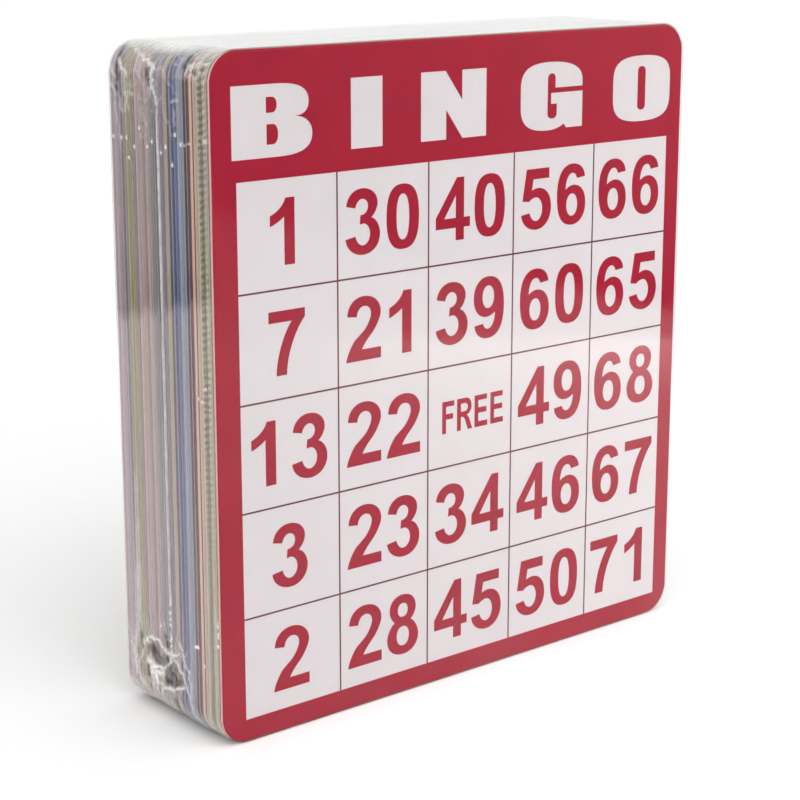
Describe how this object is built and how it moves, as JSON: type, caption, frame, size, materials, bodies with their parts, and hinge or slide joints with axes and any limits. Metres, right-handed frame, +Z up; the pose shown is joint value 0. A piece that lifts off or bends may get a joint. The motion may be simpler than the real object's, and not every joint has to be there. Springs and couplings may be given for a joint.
{
  "type": "bingo card pack",
  "caption": "Shrink-wrapped pack of jumbo bingo cards stood on edge: round-cornered printed boards, face to back, in one clear film skin.",
  "frame": {"origin": "middle of the pack's foot, on the outside of the film that it stands on", "axes": "+Z up along the height of the cards, -Y out of the front card's printed face, +X to the right as that face is read"},
  "size_m": [0.1902, 0.0518, 0.2038],
  "materials": {
    "red_board": "gloss-coated print on the face, bare cut board at the edges",
    "green_board": "gloss-coated print on the face, bare cut board at the edges",
    "cream_board": "gloss-coated print on the face, bare cut board at the edges",
    "brown_board": "gloss-coated print on the face, bare cut board at the edges",
    "pink_board": "gloss-coated print on the face, bare cut board at the edges",
    "maroon_board": "gloss-coated print on the face, bare cut board at the edges",
    "steel_board": "gloss-coated print on the face, bare cut board at the edges",
    "blue_board": "gloss-coated print on the face, bare cut board at the edges",
    "grey_board": "gloss-coated print on the face, bare cut board at the edges",
    "tan_board": "gloss-coated print on the face, bare cut board at the edges",
    "mauve_board": "gloss-coated print on the face, bare cut board at the edges",
    "olive_board": "gloss-coated print on the face, bare cut board at the edges",
    "slate_board": "gloss-coated print on the face, bare cut board at the edges",
    "white_coating": "white gloss coating of the card's face",
    "line_ink": "thin dark red printed line",
    "clear_film": "clear high-gloss shrink film"
  },
  "bodies": {
    "root": {"card_01": "red_board", "card_02": "green_board", "card_03": "green_board", "card_04": "green_board", "card_05": "green_board", "card_06": "green_board", "card_07": "cream_board", "card_08": "cream_board", "card_09": "brown_board", "card_10": "pink_board", "card_11": "maroon_board", "card_12": "maroon_board", "card_13": "maroon_board", "card_14": "steel_board", "card_15": "steel_board", "card_16": "steel_board", "card_17": "blue_board", "card_18": "blue_board", "card_19": "blue_board", "card_20": "blue_board", "card_21": "grey_board", "card_22": "tan_board", "card_23": "tan_board", "card_24": "grey_board", "card_25": "grey_board", "card_26": "grey_board", "card_27": "grey_board", "card_28": "grey_board", "card_29": "grey_board", "card_30": "grey_board", "card_31": "grey_board", "card_32": "mauve_board", "card_33": "mauve_board", "card_34": "mauve_board", "card_35": "mauve_board", "card_36": "mauve_board", "card_37": "mauve_board", "card_38": "mauve_board", "card_39": "mauve_board", "card_40": "olive_board", "card_41": "olive_board", "card_42": "olive_board", "card_43": "olive_board", "card_44": "slate_board", "card_45": "slate_board", "card_46": "mauve_board", "card_47": "mauve_board", "card_48": "mauve_board", "card_49": "mauve_board", "card_50": "mauve_board", "shrink_film": "clear_film"}
  },
  "joints": []
}
